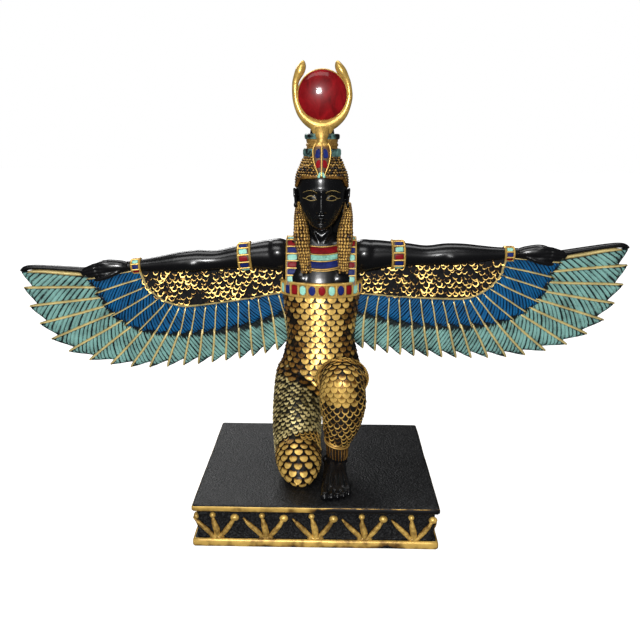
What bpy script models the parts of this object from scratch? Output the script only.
"""A kneeling winged goddess on a rectangular plinth: a painted resin figurine.

Three pieces: the plinth, the figure with its arms, wings and horned crown in one casting, and the
domed red sun disc that is set between the horns. Metres, +Z up, the figure faces -Y. The origin is
the centre of the plinth's underside.

The figure is drawn on a canon, as the old sculptors drew it: its height is CANON_PARTS equal parts,
and every place and radius in the tables of the body is given in those parts.
"""

import math

import bmesh
import bpy
from mathutils import Vector

# Plinth
PLINTH_WIDTH = 0.100
PLINTH_DEPTH = 0.085
PLINTH_HEIGHT = 0.0184
TOP_RAIL_HEIGHT = 0.0028
FOOT_RAIL_HEIGHT = 0.0036
FRIEZE_DEPTH = 0.0018
PLINTH_EDGE = 0.0007
LOTUS_PITCH = 0.0200
STALK_WIDTH = 0.0019
STALK_RELIEF = 0.0012
BUD_RADIUS = 0.0017
BLOSSOM_RADIUS = 0.0022

# Figure
FIGURE_HEIGHT = 0.1455
FIGURE_X = 0.0009
ARM_TILT = {-1: math.radians(-5.0), 1: math.radians(1.5)}
BAND_HEIGHT = 0.0066
BAND_THICKNESS = 0.0013
STRAP_WIDTH = 0.0052
STRAP_THICKNESS = 0.0010
COLLAR_THICKNESS = 0.0009
ARMBAND_WIDTH = 0.0060
BRACELET_WIDTH = 0.0040
CUFF_THICKNESS = 0.0008
TAIL_THICKNESS = 0.0020
MIDDLE_THICKNESS = 0.0028
COVERT_THICKNESS = 0.0040
QUILL_RELIEF = 0.0006
RIM_RELIEF = 0.0005

# Sun disc and the horns that hold it
DISC_RADIUS = 0.0101
DISC_EDGE = 0.0030
DISC_DOME = 0.0018
HORN_RADIUS = 0.0014

# Fits
REST_GAP = 0.0003
SEAT_GAP = 0.0003
OVERLAP = 0.0020

CANON_PARTS = 145.5
PART = FIGURE_HEIGHT / CANON_PARTS
GROUND = PLINTH_HEIGHT + REST_GAP

# The body in canon parts: x from the centre line, y to the back, z from the plinth's top.
# Level sections: height, y of the centre, half width, half depth.
TORSO = [
    (29, 16.0, 13.0, 9.0),
    (33, 15.5, 16.5, 12.0),
    (40, 14.8, 17.6, 13.0),
    (47, 13.2, 16.4, 11.8),
    (54, 11.8, 15.0, 10.4),
    (62, 11.0, 15.2, 10.4),
    (72, 10.5, 16.2, 11.2),
    (80, 10.3, 17.0, 11.6),
    (87, 10.8, 17.4, 10.6),
    (93, 11.5, 18.4, 9.0),
    (97.5, 12.0, 16.5, 7.4),
    (100, 12.3, 12.0, 6.2),
    (102.5, 12.4, 6.4, 5.4),
]
# Level sections: height, y of the axis, half width, reach to the front, reach to the back.
HEAD = [
    (105.2, 6.0, 2.4, 7.2, 1.0),
    (106.2, 7.0, 4.4, 9.6, 3.4),
    (108.6, 8.0, 6.4, 10.8, 5.6),
    (111.4, 8.0, 7.9, 11.0, 7.8),
    (115.0, 8.0, 9.1, 11.0, 9.8),
    (119.0, 8.0, 9.9, 11.1, 11.4),
    (123.0, 8.0, 10.3, 11.2, 12.3),
    (127.0, 8.0, 10.1, 10.8, 12.2),
    (130.5, 8.0, 8.6, 9.0, 10.2),
    (132.8, 8.0, 5.6, 5.6, 6.6),
    (134.0, 8.0, 2.0, 2.0, 2.4),
]
# Limbs along a line: x, y, z, half width, half depth.
NECK = [
    (0, 12.2, 97, 6.4, 5.6),
    (0, 11.5, 103.1, 5.0, 4.8),
    (0, 9.4, 112, 4.8, 5.0),
]
RAISED_THIGH = [
    (8.5, 21, 35, 8.0, 7.5),
    (9.0, 14, 36.6, 10.6, 8.8),
    (9.6, 3, 38.4, 10.9, 8.3),
    (9.9, -9, 42.8, 10.4, 8.1),
    (9.6, -17, 45.0, 9.4, 7.9),
    (9.3, -22.5, 45.7, 7.8, 7.0),
    (9.1, -25.8, 46.1, 5.0, 5.0),
    (9.0, -27.0, 46.2, 1.8, 2.0),
]
RAISED_SHIN = [
    (9.1, -21.0, 51.3, 3.2, 3.0),
    (9.1, -20.6, 49.0, 6.6, 6.0),
    (9.4, -19.6, 43.6, 8.8, 7.4),
    (9.9, -17.8, 36.0, 9.2, 7.6),
    (9.8, -16.0, 28.0, 8.1, 7.2),
    (8.8, -14.8, 21.5, 6.6, 6.4),
    (7.6, -13.8, 15.0, 5.0, 5.2),
    (7.3, -13.3, 8.0, 4.6, 4.8),
]
RAISED_ANKLE = [
    (7.2, -13.0, 10, 4.1, 4.1),
    (6.9, -12.5, 5, 4.5, 4.4),
    (6.9, -12.4, 1.2, 4.8, 4.7),
    (6.9, -12.4, -1, 4.6, 4.5),
]
HEM = [
    (7.7, -13.8, 17.4, 4.8, 5.0),
    (7.7, -13.8, 16.8, 5.8, 5.9),
    (7.5, -13.7, 14.6, 5.7, 5.8),
    (7.5, -13.7, 14.0, 4.7, 4.9),
]
RAISED_FOOT = [
    (7.0, -6.6, 1.4, 2.4, 2.4),
    (7.0, -8.4, 2.2, 4.2, 3.6),
    (7.0, -13.6, 4.0, 4.9, 5.0),
    (7.0, -20.0, 2.9, 5.3, 4.2),
    (7.0, -26.0, 1.8, 5.8, 3.1),
    (7.2, -31.0, 1.0, 6.3, 2.4),
    (7.2, -33.3, 0.8, 5.6, 1.6),
]
KNEELING_THIGH = [
    (-8.0, 20, 40, 8.0, 7.0),
    (-9.0, 15, 37, 10.8, 10.2),
    (-9.9, 6, 28, 10.8, 10.0),
    (-10.1, -3, 19.5, 10.3, 9.8),
    (-9.6, -10, 13, 9.6, 9.1),
    (-8.8, -16.5, 9.6, 9.1, 8.8),
    (-7.9, -22.5, 6.2, 7.8, 6.9),
    (-7.0, -27.4, 3.6, 3.4, 3.3),
]
KNEELING_SHIN = [
    (-7.8, -23.4, 4.6, 4.6, 4.6),
    (-8.7, -18.0, 6.6, 7.7, 7.2),
    (-9.2, -5, 7.9, 8.7, 8.5),
    (-9.3, 7, 8.4, 8.2, 8.2),
    (-9.1, 18, 8.6, 6.8, 7.2),
    (-8.9, 26.5, 9.0, 5.4, 5.8),
]
KNEELING_FOOT = [
    (-8.9, 22.5, 9.3, 3.6, 3.8),
    (-8.9, 28, 10.5, 4.0, 4.4),
    (-8.9, 32, 11.0, 4.1, 4.0),
    (-8.9, 33.8, 8.0, 4.2, 3.4),
    (-8.9, 34.2, 4.4, 4.6, 3.1),
    (-8.9, 33.0, 0.6, 4.8, 3.2),
]
KNEELING_TOES = [(-8.9, 33.5, 1.6, 4.9, 2.6), (-8.9, 29.5, 1.2, 5.0, 2.2), (-8.9, 26.5, 0.8, 4.4, 1.6)]
# From the big toe outwards: x, radius, length.
TOES = [(2.7, 1.8, 6.7), (5.4, 1.35, 6.3), (7.9, 1.3, 5.7), (10.3, 1.2, 4.6), (12.5, 1.1, 2.9)]
TOE_ROOT = -31
# How far both locks swing to +X: above a height, and at the lower ends.
LAPPET_SWING = (102, 0.8, 1.7)
LAPPET = [
    (10.5, 11.0, 115, 1.7, 3.0),
    (10.4, 9.4, 110, 2.4, 3.4),
    (9.6, 7.0, 105, 3.1, 3.2),
    (9.3, 4.4, 101, 3.3, 2.8),
    (8.4, 1.4, 94, 2.7, 2.2),
    (7.8, -0.8, 87, 2.2, 1.9),
]
BACK_HAIR = [
    (0, 13.0, 128, 8.0, 7.2),
    (0, 14.4, 120, 9.6, 8.0),
    (0, 15.4, 114, 9.8, 7.4),
    (0, 16.5, 108, 11.2, 6.3),
    (0, 17.6, 102, 11.8, 5.2),
    (0, 19.6, 94, 11.0, 3.4),
    (0, 20.4, 85, 9.8, 2.6),
]
# The turned drum under the horns: radius, height.
DRUM = [
    (0.0, 145.3),
    (5.6, 145.1),
    (7.3, 143.6),
    (7.3, 141.8),
    (6.6, 141.2),
    (6.7, 138.6),
    (7.9, 138.0),
    (7.9, 135.2),
    (7.5, 131.0),
    (0.0, 131.0),
]
ORNAMENT = [
    (0, 0.6, 147.0, 3.4, 2.2),
    (0, 0.2, 143.0, 2.6, 1.9),
    (0, -1.0, 139.0, 3.3, 1.7),
    (0, -2.8, 134.0, 3.4, 1.5),
    (0, -4.0, 130.0, 2.4, 1.2),
    (0, -4.2, 127.0, 1.0, 0.8),
]
# One arm, in parts: along the arm from the shoulder, up, half height, half depth.
SHOULDER = (20.0, 11.0, 93.5)
ARM = [
    (-7, -1.8, 5.0, 5.0),
    (-2, -1.2, 7.1, 6.4),
    (3, -0.8, 6.9, 6.2),
    (10, -0.5, 5.9, 5.6),
    (18, -0.8, 5.2, 4.9),
    (26, -1.3, 4.6, 4.5),
    (34, -0.9, 5.0, 4.7),
    (42, -0.8, 4.7, 4.5),
    (48, -0.8, 4.0, 4.0),
    (56, -0.8, 3.1, 3.2),
    (66, -0.6, 2.3, 2.5),
]
HAND = [(61.9, -0.6, 1.8, 2.0), (68, -0.2, 3.0, 2.5), (73, 0.0, 3.4, 2.3), (77, -0.4, 3.1, 2.0)]
HAND_FORWARD = 1.4
KNUCKLE = 75
FINGER_LEVELS = (1.8, 0.2, -1.4, -2.9)
FINGER_LENGTHS = (9.6, 10.6, 10.0, 8.0)
FINGER_RADIUS = 1.05
BREAST = (7.4, 5.6, 83.4, 6.6, 5.7, 5.5)
EAR = (11.0, 7.6, 118.0, 2.0, 2.0, 4.2)
# The wing, in parts from the shoulder along the arm and up, at numbered feathers from the top edge.
FEATHER_COUNT = 20
TAIL_TIPS = [
    (0, 110.8, -0.4),
    (2, 110.6, -15.5),
    (4, 102.9, -30.9),
    (6, 88.2, -41.2),
    (8, 70.8, -46.4),
    (11, 49.1, -47.9),
    (15, 24.6, -47.2),
    (19, 0.6, -44.0),
    (21, -10, -42.0),
]
MIDDLE_ENDS = [
    (0, 84.0, -3.5),
    (2, 79.8, -13.3),
    (4, 76.0, -21.5),
    (6, 68.3, -28.2),
    (8, 58.0, -32.0),
    (11, 42.0, -33.6),
    (15, 20.0, -32.6),
    (19, -1.5, -27.5),
    (21, -10, -25.0),
]
RIM_LINE = [
    (0, 60.0, -3.0),
    (2.8, 57.4, -10.6),
    (5.6, 52.0, -16.4),
    (8.4, 45.5, -19.6),
    (10.3, 39.8, -20.4),
    (14, 21.4, -19.6),
    (19, -1.0, -17.6),
    (21, -10, -16.8),
]
TAIL_NOTCH = 2.4
MIDDLE_NOTCH = 1.4
WING_SWEEP = 6.0
WING_REACH = 112.0
LEADING_EDGE = [
    (74, -3.2, 1.7),
    (86, -2.0, 1.9),
    (98, -0.2, 1.8),
    (106, 1.5, 1.6),
    (109.4, 1.7, 1.4),
    (111, 1.0, 0.8),
]
# The centre line of a horn from the middle of its foot to its tip, in disc radii from the disc's centre,
# with its thickness in horn radii.
HORN_LINE = [
    (0.0, -1.20, 1.7),
    (0.45, -1.08, 1.3),
    (0.86, -0.72, 1.0),
    (1.08, -0.15, 0.85),
    (1.08, 0.35, 0.85),
    (0.93, 0.80, 1.0),
    (0.80, 1.08, 1.05),
    (0.71, 1.27, 0.75),
    (0.69, 1.337, 0.35),
]
HORN_FOOT = 1.38
# How far the tips of the horns lean to -X, in parts.
HORN_LEAN = 1.1

RESIN = {
    "black": ((0.012, 0.012, 0.013), 0.22, 0.0),
    "red": ((0.25, 0.005, 0.008), 0.10, 0.0),
    "plinth_black": ((0.02, 0.02, 0.02), 0.55, 0.0),
}


# Helpers

def material(name, colour, roughness, metallic):
    made = bpy.data.materials.new(name)
    made.use_nodes = True
    shader = made.node_tree.nodes["Principled BSDF"]
    shader.inputs["Base Color"].default_value = (*colour, 1.0)
    shader.inputs["Roughness"].default_value = roughness
    shader.inputs["Metallic"].default_value = metallic
    return made


def collection(name, hidden=False):
    made = bpy.data.collections.new(name)
    bpy.context.scene.collection.children.link(made)
    made.hide_render = hidden
    return made


def keep(name, bm, into):
    """Turns a bmesh into an object of a collection, with its faces pointing out."""
    bmesh.ops.recalc_face_normals(bm, faces=bm.faces)
    mesh = bpy.data.meshes.new(name)
    bm.to_mesh(mesh)
    bm.free()
    made = bpy.data.objects.new(name, mesh)
    into.objects.link(made)
    return made


def form(name, bm, into):
    """A hidden form that a Boolean joins to a piece or cuts from it."""
    made = keep(name, bm, into)
    made.hide_render = True
    made.display_type = "WIRE"
    return made


def loft(rings):
    """A closed skin through rings of the same number of points, made by extruding a circle."""
    bm = bmesh.new()
    ring = bmesh.ops.create_circle(bm, segments=len(rings[0]), radius=1.0)["verts"]
    edges = list(bm.edges)
    for vert, point in zip(ring, rings[0]):
        vert.co = point
    bmesh.ops.edgeloop_fill(bm, edges=edges)
    for points in rings[1:]:
        grown = bmesh.ops.extrude_edge_only(bm, edges=edges)["geom"]
        fresh = {item for item in grown if isinstance(item, bmesh.types.BMVert)}
        ring = [next(e.other_vert(v) for e in v.link_edges if e.other_vert(v) in fresh) for v in ring]
        edges = [item for item in grown if isinstance(item, bmesh.types.BMEdge) and set(item.verts) <= fresh]
        for vert, point in zip(ring, points):
            vert.co = point
    bmesh.ops.edgeloop_fill(bm, edges=edges)
    return bm


def smooth_path(knots, t):
    """The point at t on a smooth curve through knots (t, *values)."""
    last = len(knots) - 1
    i = next((k for k in range(last) if t <= knots[k + 1][0]), last - 1)

    def slope(k):
        a, b = knots[max(k - 1, 0)], knots[min(k + 1, last)]
        return [(q - p) / (b[0] - a[0]) for p, q in zip(a[1:], b[1:])]

    (t0, *p0), (t1, *p1) = knots[i], knots[i + 1]
    span = t1 - t0
    u = (t - t0) / span
    h00, h10 = 2 * u**3 - 3 * u**2 + 1, u**3 - 2 * u**2 + u
    h01, h11 = 3 * u**2 - 2 * u**3, u**3 - u**2
    rows = zip(p0, slope(i), p1, slope(i + 1))
    return [h00 * a + h10 * span * m + h01 * b + h11 * span * n for a, m, b, n in rows]


def body(x, y, z):
    """A place given in canon parts, in metres."""
    return Vector((FIGURE_X + x * PART, y * PART, GROUND + z * PART))


def oval(centre, across, up, half_across, half_up, sides):
    turns = [math.tau * i / sides for i in range(sides)]
    return [centre + across * (half_across * math.cos(a)) + up * (half_up * math.sin(a)) for a in turns]


def limb(stations, sides, side=1):
    """A limb through stations (x, y, z, half width, half depth) in canon parts."""
    places = [body(side * x, y, z) for x, y, z, *_ in stations]
    rings = []
    for i, (*_, wide, deep) in enumerate(stations):
        along = (places[min(i + 1, len(places) - 1)] - places[max(i - 1, 0)]).normalized()
        across = (Vector((1, 0, 0)) - along * along.x).normalized()
        rings.append(oval(places[i], across, along.cross(across), wide * PART, deep * PART, sides))
    return loft(rings)


def ball(centre, half_sizes, columns, rows):
    bm = bmesh.new()
    bmesh.ops.create_uvsphere(bm, u_segments=columns, v_segments=rows, radius=1.0)
    bmesh.ops.scale(bm, vec=half_sizes, verts=bm.verts)
    bmesh.ops.translate(bm, vec=centre, verts=bm.verts)
    return bm


# Torso and dress

def torso_at(z):
    """Centre y, half width and half depth of the torso at a height, in canon parts."""
    return smooth_path(TORSO, z)


def torso_ring(z, grow, sides):
    """A level ring round the torso, grown outwards by a length in metres."""
    y, wide, deep = torso_at(z)
    flat = Vector((1, 0, 0)), Vector((0, 1, 0))
    return oval(body(0, y, z), *flat, wide * PART + grow, deep * PART + grow, sides)


def torso_skin(x, z, back=False):
    """The y of the torso's surface beside the centre line, in canon parts."""
    y, wide, deep = torso_at(z)
    reach = deep * math.sqrt(max(0.0, 1 - (x / wide) ** 2))
    return y + reach if back else y - reach


def torso():
    return loft([torso_ring(z, 0.0, 16) for z, *_ in TORSO])


def chest_band():
    low = 76.0
    high = low + BAND_HEIGHT / PART
    bands = [(low, 0.0), (low, BAND_THICKNESS), (high, BAND_THICKNESS), (high, 0.0)]
    return loft([torso_ring(z, grow - (0 if grow else OVERLAP), 16) for z, grow in bands])


def strap(side):
    """A strap up the chest, over the shoulder and down the back."""
    x, top = 12.4, 99.4
    levels = (79.5, 85, 91, 96)
    front = [(torso_skin(x, z), z) for z in levels]
    rear = [(torso_skin(x, z, back=True), z) for z in levels]
    line = front + [(8.8, top), (15.4, top)] + rear[::-1]
    rings = []
    for i, (y, z) in enumerate(line):
        (y0, z0), (y1, z1) = line[max(i - 1, 0)], line[min(i + 1, len(line) - 1)]
        out = Vector((0, z0 - z1, y1 - y0)).normalized()
        centre = body(side * x, y, z)
        wide = Vector((STRAP_WIDTH / 2, 0, 0))
        low, high = centre - out * OVERLAP, centre + out * STRAP_THICKNESS
        rings.append([low - wide, high - wide, high + wide, low + wide])
    return loft(rings)


def lappet(side):
    """A lock of the wig, which falls beside the neck to the chest and swings a little to +X."""
    below, high, low = LAPPET_SWING
    fall = below - LAPPET[-1][2]
    stations = []
    for x, y, z, wide, deep in LAPPET:
        swing = high + (low - high) * min(max((below - z) / fall, 0.0), 1.0)
        stations.append((side * x + swing, y, z, wide, deep))
    return limb(stations, 8)


def collar():
    """The broad collar that shows between the locks of the wig, stepped in three bands."""
    half = 8.2
    columns = (-half, 0, half)
    steps = [(87.6, 0.2), (88.2, 1.0), (91.4, 1.0), (91.8, 0.7), (95.0, 0.9), (98.6, 1.0), (100.6, 0.6)]
    rings = []
    for z, share in steps:
        front = [body(x, torso_skin(x, z), z) - Vector((0, share * COLLAR_THICKNESS, 0)) for x in columns]
        inner = [p + Vector((0, share * COLLAR_THICKNESS + OVERLAP, 0)) for p in reversed(front)]
        rings.append(front + inner)
    return loft(rings)


# Head, wig and crown

def relief_of_face(x, z):
    """How far the face stands out at a place, in parts: brow, eyes, nose, lips, chin and cheeks."""
    def bump(cx, cz, wide, high):
        return math.exp(-(((x - cx) / wide) ** 2) - (((z - cz) / high) ** 2))

    along_nose = min(max((120.5 - z) / 7.5, 0.0), 1.0)
    nose = (0.5 + 2.4 * along_nose) * math.exp(-((x / (1.3 + 0.5 * along_nose)) ** 2))
    nose *= min(max((z - 111.9) / 1.0, 0.0), 1.0) * min(max((122.0 - z) / 2.0, 0.0), 1.0)
    lips = 0.9 * bump(0, 109.9, 2.4, 1.0)
    chin = 0.8 * bump(0, 106.8, 2.4, 1.3)
    sides = 0.0
    for s in (-1, 1):
        cheek, brow = 0.4 * bump(s * 5.6, 114.2, 2.6, 2.2), 0.5 * bump(s * 4.0, 121.0, 3.2, 0.9)
        socket, eye = 0.9 * bump(s * 4.1, 118.6, 2.4, 1.4), 0.5 * bump(s * 4.2, 118.2, 1.6, 0.8)
        sides += cheek + brow - socket + eye
    return nose + lips + chin + sides


def head_ring(section, sides, grow=0.0, carved=True):
    """A level ring of the head. The front is flatter than the back, and carries the face."""
    z, y, wide, front, back = section
    ring = []
    for i in range(sides):
        a = math.tau * i / sides
        x = (wide + grow) * math.sin(a)
        ahead = math.cos(a)
        if ahead > 0:
            out = (front + grow) * ahead**0.85
            out += relief_of_face(x, z) * min(1.0, 2 * ahead) if carved else 0.0
        else:
            out = (back + grow) * ahead
        ring.append(body(x, y - out, z))
    return ring


def head_section(z):
    return (z, *smooth_path(HEAD, z))


def head():
    levels = (105.2, 106.4, 108.4, 109.9, 111.2, 112.6, 114.6, 118.0, 121.0, 126, 133)
    return loft([head_ring(head_section(z), 18) for z in levels])


def wig_cap():
    """The close cap of braids: it stands out over the skull, and dips inside the head below the hairline."""
    rings = []
    for z in (116, 126.6, 127.4, 130, 132.4, 134.8):
        section = head_section(min(z, 134.0))
        skin = head_ring(section, 18, grow=-1.2, carved=False)
        over = head_ring(section, 18, grow=1.3, carved=False)
        ring = []
        for inner, outer in zip(skin, over):
            beside = abs(outer.x - FIGURE_X) / PART
            hairline = 127.2 - 0.028 * beside**2
            behind = outer.y / PART > 8.5
            ring.append((outer if z >= hairline or behind else inner).copy())
        for point in ring:
            point.z = GROUND + z * PART
        rings.append(ring)
    return loft(rings)


def ear(side):
    x, y, z, wide, deep, high = EAR
    return ball(body(side * x, y, z), (wide * PART, deep * PART, high * PART), 8, 6)


def turned(profile, axis, steps):
    """A profile of points turned once about an axis through the origin, with its poles closed."""
    bm = bmesh.new()
    verts = [bm.verts.new(point) for point in profile]
    edges = [bm.edges.new(pair) for pair in zip(verts, verts[1:])]
    turn = {"cent": (0, 0, 0), "axis": axis, "angle": math.tau, "steps": steps, "use_merge": True}
    bmesh.ops.spin(bm, geom=verts + edges, **turn)
    bmesh.ops.remove_doubles(bm, verts=bm.verts, dist=0.00002)
    return bm


def drum():
    """The turned drum of the crown, its profile taken from the top down the outer side."""
    bm = turned([(radius * PART, 0, z * PART) for radius, z in DRUM], (0, 0, 1), 13)
    bmesh.ops.translate(bm, vec=body(0, 8.5, 0), verts=bm.verts)
    return bm


def disc_centre():
    return body(0, 8.0, CANON_PARTS) + Vector((0, 0, HORN_FOOT * DISC_RADIUS))


def horn_rings(sides):
    """Both horns as one bow, from the tip at -X down under the disc and up to the other tip."""
    bow = [(-x, z, thick) for x, z, thick in HORN_LINE[:0:-1]] + HORN_LINE
    centre = disc_centre()
    tip = HORN_LINE[-1][1]
    places = []
    for x, z, _ in bow:
        lean = HORN_LEAN * PART * max(0.0, z / tip)
        places.append(centre + Vector((x * DISC_RADIUS - lean, 0, z * DISC_RADIUS)))
    rings = []
    for i, (_, _, thick) in enumerate(bow):
        along = (places[min(i + 1, len(places) - 1)] - places[max(i - 1, 0)]).normalized()
        across = Vector((0, 1, 0)).cross(along)
        reach = thick * HORN_RADIUS
        rings.append(oval(places[i], across, Vector((0, 1, 0)), reach, reach * 1.25, sides))
    return rings


def horn_foot():
    """The neck between the drum and the bow of the horns."""
    top = disc_centre() + Vector((0, 0, HORN_LINE[0][1] * DISC_RADIUS))
    base = body(0, 8.0, CANON_PARTS - 3)
    flat = Vector((1, 0, 0)), Vector((0, 1, 0))
    spread = [(base, 3.1), (base.lerp(top, 0.45), 4.0), (top, 6.8)]
    return loft([oval(p, *flat, wide * PART, 2.2 * PART, 8) for p, wide in spread])


def disc_solid(grow):
    """The domed disc as a turned lens with its axis along Y, grown by a gap on every side."""
    radius, edge = DISC_RADIUS + grow, DISC_EDGE / 2 + grow
    turns = (0.0, math.pi / 4, math.pi / 2)
    dome = [(radius * math.cos(a), edge + DISC_DOME * math.sin(a), 0) for a in turns]
    bm = turned(dome[::-1] + [(x, -y, 0) for x, y, _ in dome], (0, 1, 0), 22)
    bmesh.ops.translate(bm, vec=disc_centre(), verts=bm.verts)
    return bm


# Arms and wings

def reach(side, s, u, lift=0.0):
    """A place on an arm or a wing: s along the arm, u up and lift to the front, in canon parts."""
    x, y, z = SHOULDER
    tilt = ARM_TILT[side]
    across = x + s * math.cos(tilt) - u * math.sin(tilt)
    sweep = WING_SWEEP * (max(s, 0.0) / WING_REACH) ** 2
    return body(side * across, y - sweep - lift, z + s * math.sin(tilt) + u * math.cos(tilt))


def arm_rings(side, stations, sides, lift=0.0, grow=0.0):
    rings = []
    for s, u, high, deep in stations:
        centre = reach(side, s, u, lift)
        up = (reach(side, s, u + 1, lift) - centre).normalized()
        rings.append(oval(centre, Vector((0, 1, 0)), up, deep * PART + grow, high * PART + grow, sides))
    return rings


def cuff(side, s, width):
    """A ring round the arm: the armband or the bracelet."""
    half = width / PART / 2
    stations = [(t, *smooth_path(ARM, t)) for t in (s - half, s - half, s + half, s + half)]
    grown = (-0.3 * OVERLAP, CUFF_THICKNESS, CUFF_THICKNESS, -0.3 * OVERLAP)
    return loft([arm_rings(side, [st], 10, grow=g)[0] for st, g in zip(stations, grown)])


def finger(side, number):
    level, length = FINGER_LEVELS[number], FINGER_LENGTHS[number]
    stations = []
    for t, share in ((0, 1.1), (0.85, 0.95), (1.0, 0.4)):
        radius = share * FINGER_RADIUS
        stations.append((KNUCKLE + length * t, level * (1 - 0.35 * t) - 1.2 * t * t, radius, radius))
    return loft(arm_rings(side, stations, 6, lift=HAND_FORWARD + 0.4))


def thumb(side):
    stations = [(69, -2, 1.2, 1.2), (73, -3.6, 1.2, 1.2), (77, -4.6, 1, 1), (79, -4.8, 0.5, 0.5)]
    return loft(arm_rings(side, stations, 6, lift=HAND_FORWARD + 0.8))


def toward(start, end, length):
    """The point a length from start in the direction of end."""
    span = math.dist(start, end)
    return [a + (b - a) * length / span for a, b in zip(start, end)]


def wing(side):
    """Coverts, gilt rim, middle feathers and tail feathers as one skin, with a crest at each quill."""
    covert, middle, tail = (h / PART / 2 for h in (COVERT_THICKNESS, MIDDLE_THICKNESS, TAIL_THICKNESS))
    rings = []
    for number in range(FEATHER_COUNT + 1):
        for share, relief, notch in ((0.0, QUILL_RELIEF / PART, 0.0), (0.86, 0.0, 1.0)):
            lines = (RIM_LINE, MIDDLE_ENDS, TAIL_TIPS)
            rim, end, tip = (smooth_path(line, number + share) for line in lines)
            end = toward(end, rim, notch * MIDDLE_NOTCH)
            tip = toward(tip, end, notch * TAIL_NOTCH)
            top = (rim[0], 0.5)
            line = [
                (top, covert),
                (rim, covert + RIM_RELIEF / PART),
                (end, middle + relief),
                (toward(end, tip, 0.7), tail + 0.8 * relief),
                (tip, 0.55 * tail + 0.5 * relief),
            ]
            front = [reach(side, *place, half) for place, half in line]
            rear = [reach(side, *place, -half) for place, half in line[::2]]
            rings.append(front + rear[::-1])
    return loft(rings)


def leading_edge(side):
    """The rolled top edge of the wing beyond the hand."""
    stations = [(s, u, thick, thick * 1.05) for s, u, thick in LEADING_EDGE]
    return loft(arm_rings(side, stations, 10))


def toes():
    """Five toes across the front of the raised leg's foot, the big toe on the inner side."""
    made = []
    for x, radius, length in TOES:
        tip = TOE_ROOT - length
        stations = [(x, TOE_ROOT, 1.4, radius, radius), (x, tip + 1.6, 1.25, radius, radius)]
        stations.append((x, tip - 0.5, 1.0, 0.4 * radius, 0.4 * radius))
        made.append(limb(stations, 6))
    return made


# Plinth

def rectangle(inset, z):
    x, y = PLINTH_WIDTH / 2 - inset, PLINTH_DEPTH / 2 - inset
    return [Vector((-x, -y, z)), Vector((x, -y, z)), Vector((x, y, z)), Vector((-x, y, z))]


def plinth_block():
    """Top rail, sunk frieze and foot rail, as one stack of rectangles."""
    rail = PLINTH_HEIGHT - TOP_RAIL_HEIGHT
    outline = [
        (PLINTH_EDGE, 0.0),
        (0.0, PLINTH_EDGE),
        (0.0, FOOT_RAIL_HEIGHT - PLINTH_EDGE),
        (FRIEZE_DEPTH, FOOT_RAIL_HEIGHT),
        (FRIEZE_DEPTH, rail),
        (0.0, rail + PLINTH_EDGE),
        (0.0, PLINTH_HEIGHT - PLINTH_EDGE),
        (PLINTH_EDGE, PLINTH_HEIGHT),
    ]
    return loft([rectangle(inset, z) for inset, z in outline])


def stalk(foot, head_, width, out):
    """A tapered stalk that stands half out of the frieze's ground."""
    along = (head_ - foot).normalized()
    across = along.cross(out).normalized()
    proud = out * STALK_RELIEF
    rings = []
    for p, half in ((foot, width / 2), (head_, 0.3 * width)):
        rings.append([p - across * half - proud, p + proud, p + across * half - proud])
    return loft(rings)


def bud(centre, radius, out):
    """A round bud that stands out of the frieze's ground by less than the frieze is sunk."""
    proud = 0.75 * FRIEZE_DEPTH
    half = [proud if abs(axis) > 0.5 else radius for axis in out]
    bm = bmesh.new()
    bmesh.ops.create_icosphere(bm, subdivisions=1, radius=1.0)
    bmesh.ops.scale(bm, vec=half, verts=bm.verts)
    bmesh.ops.translate(bm, vec=centre, verts=bm.verts)
    return bm


def frieze(into):
    """The lotus frieze: on each face a row of upright buds, each with a leaf and a leaning blossom."""
    low, high = FOOT_RAIL_HEIGHT, PLINTH_HEIGHT - TOP_RAIL_HEIGHT
    faces = [
        (PLINTH_WIDTH, PLINTH_DEPTH, Vector((1, 0, 0)), Vector((0, -1, 0))),
        (PLINTH_DEPTH, PLINTH_WIDTH, Vector((0, 1, 0)), Vector((1, 0, 0))),
        (PLINTH_WIDTH, PLINTH_DEPTH, Vector((-1, 0, 0)), Vector((0, 1, 0))),
        (PLINTH_DEPTH, PLINTH_WIDTH, Vector((0, -1, 0)), Vector((-1, 0, 0))),
    ]
    for face, (length, through, along, out) in enumerate(faces):
        count = max(1, round(length / LOTUS_PITCH))
        pitch = length / count
        ground = out * (through / 2 - FRIEZE_DEPTH)
        for number in range(count):
            foot = ground + along * (pitch * (number + 0.5) - length / 2)
            root, top = foot + Vector((0, 0, low + 0.1 * STALK_WIDTH)), high - low

            def place(share_along, share_up):
                return root + along * (share_along * pitch) + Vector((0, 0, share_up * top))

            # The back of the frieze is plainer: stems and buds alone.
            parts = {
                "stem": stalk(root, place(0.0, 0.74), 1.3 * STALK_WIDTH, out),
                "leaf": stalk(place(-0.11, 0.0), place(-0.42, 0.88), STALK_WIDTH, out),
                "lean": stalk(place(0.11, 0.0), place(0.36, 0.70), STALK_WIDTH, out),
                "bud": bud(place(0.0, 0.80), BUD_RADIUS, out),
                "blossom": bud(place(0.39, 0.74), BLOSSOM_RADIUS, out),
            }
            for part, bm in parts.items():
                if face == 2 and part in ("leaf", "lean", "blossom"):
                    bm.free()
                else:
                    form(f"frieze_{face}_{number}_{part}", bm, into)


# Assembly

def join(piece, others):
    modifier = piece.modifiers.new("cast in one", "BOOLEAN")
    modifier.operation = "UNION"
    modifier.operand_type = "COLLECTION"
    modifier.collection = others


def cut(piece, cutter):
    modifier = piece.modifiers.new("clearance", "BOOLEAN")
    modifier.operation = "DIFFERENCE"
    modifier.object = cutter


def merge_flat_facets(piece):
    """Joins facets that lie in one plane, which the Booleans cut apart."""
    modifier = piece.modifiers.new("merge flat facets", "DECIMATE")
    modifier.decimate_type = "DISSOLVE"
    modifier.angle_limit = math.radians(0.3)


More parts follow.
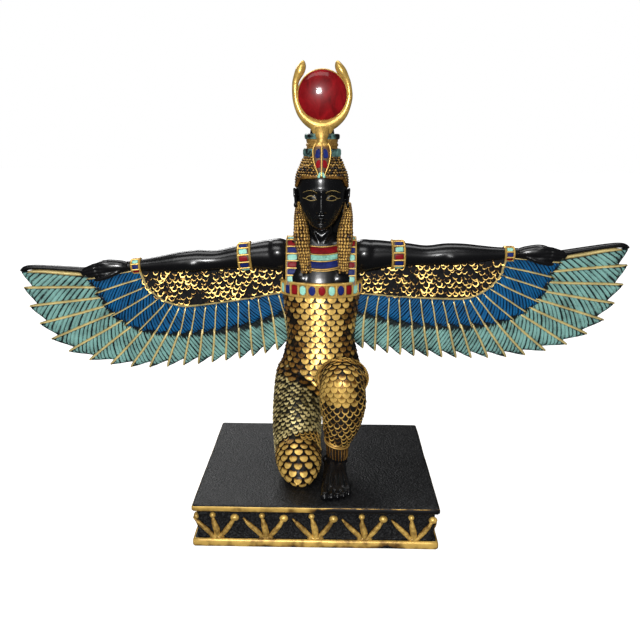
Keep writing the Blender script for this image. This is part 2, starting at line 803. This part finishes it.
def figure_forms(into):
    forms = {
        "head": head(),
        "wig_cap": wig_cap(),
        "neck": limb(NECK, 8),
        "back_hair": limb(BACK_HAIR, 10),
        "drum": drum(),
        "ornament": limb(ORNAMENT, 8),
        "horns": loft(horn_rings(6)),
        "horn_foot": horn_foot(),
        "band": chest_band(),
        "collar": collar(),
        "raised_thigh": limb(RAISED_THIGH, 11),
        "raised_shin": limb(RAISED_SHIN, 10),
        "raised_ankle": limb(RAISED_ANKLE, 7),
        "raised_foot": limb(RAISED_FOOT, 9),
        "hem": limb(HEM, 9),
        "kneeling_thigh": limb(KNEELING_THIGH, 11),
        "kneeling_shin": limb(KNEELING_SHIN, 9),
        "kneeling_foot": limb(KNEELING_FOOT, 8),
        "kneeling_toes": limb(KNEELING_TOES, 8),
    }
    forms.update({f"toe_{number}": bm for number, bm in enumerate(toes())})
    for side, word in ((-1, "right"), (1, "left")):
        x, y, z, *half = BREAST
        forms[f"breast_{word}"] = ball(body(side * x, y, z), [h * PART for h in half], 8, 6)
        forms[f"ear_{word}"] = ear(side)
        forms[f"lappet_{word}"] = lappet(side)
        forms[f"strap_{word}"] = strap(side)
        forms[f"arm_{word}"] = loft(arm_rings(side, ARM, 10))
        forms[f"armband_{word}"] = cuff(side, 13.5, ARMBAND_WIDTH)
        forms[f"bracelet_{word}"] = cuff(side, 61.4, BRACELET_WIDTH)
        forms[f"hand_{word}"] = loft(arm_rings(side, HAND, 10, lift=HAND_FORWARD))
        forms[f"thumb_{word}"] = thumb(side)
        for number in range(len(FINGER_LEVELS)):
            forms[f"finger_{word}_{number}"] = finger(side, number)
        forms[f"wing_{word}"] = wing(side)
        forms[f"leading_edge_{word}"] = leading_edge(side)
    for name, bm in forms.items():
        form(f"form_{name}", bm, into)


def ground_cutter(into):
    """What the figure must stay clear of: the plinth, with the rest gap above it."""
    bm = bmesh.new()
    bmesh.ops.create_cube(bm, size=1.0)
    depth = 20 * PART
    bmesh.ops.scale(bm, vec=(2 * PLINTH_WIDTH, 2 * PLINTH_DEPTH, depth), verts=bm.verts)
    bmesh.ops.translate(bm, vec=(0, 0, GROUND - depth / 2), verts=bm.verts)
    return form("ground_cutter", bm, into)


def main():
    for old in list(bpy.data.objects):
        bpy.data.objects.remove(old)
    statue = collection("isis_statue")
    forms = collection("figure forms", hidden=True)
    lotus = collection("frieze forms", hidden=True)
    cutters = collection("cutters", hidden=True)

    figure_forms(forms)
    frieze(lotus)

    plinth = keep("plinth", plinth_block(), statue)
    plinth.data.materials.append(material("plinth_black", *RESIN["plinth_black"]))
    join(plinth, lotus)
    merge_flat_facets(plinth)

    figure = keep("figure", torso(), statue)
    figure.data.materials.append(material("figure_black", *RESIN["black"]))
    join(figure, forms)
    cut(figure, ground_cutter(cutters))
    cut(figure, form("disc_seat", disc_solid(SEAT_GAP), cutters))
    merge_flat_facets(figure)

    disc = keep("sun_disc", disc_solid(0.0), statue)
    disc.data.materials.append(material("disc_red", *RESIN["red"]))
    disc.data.shade_smooth()


main()
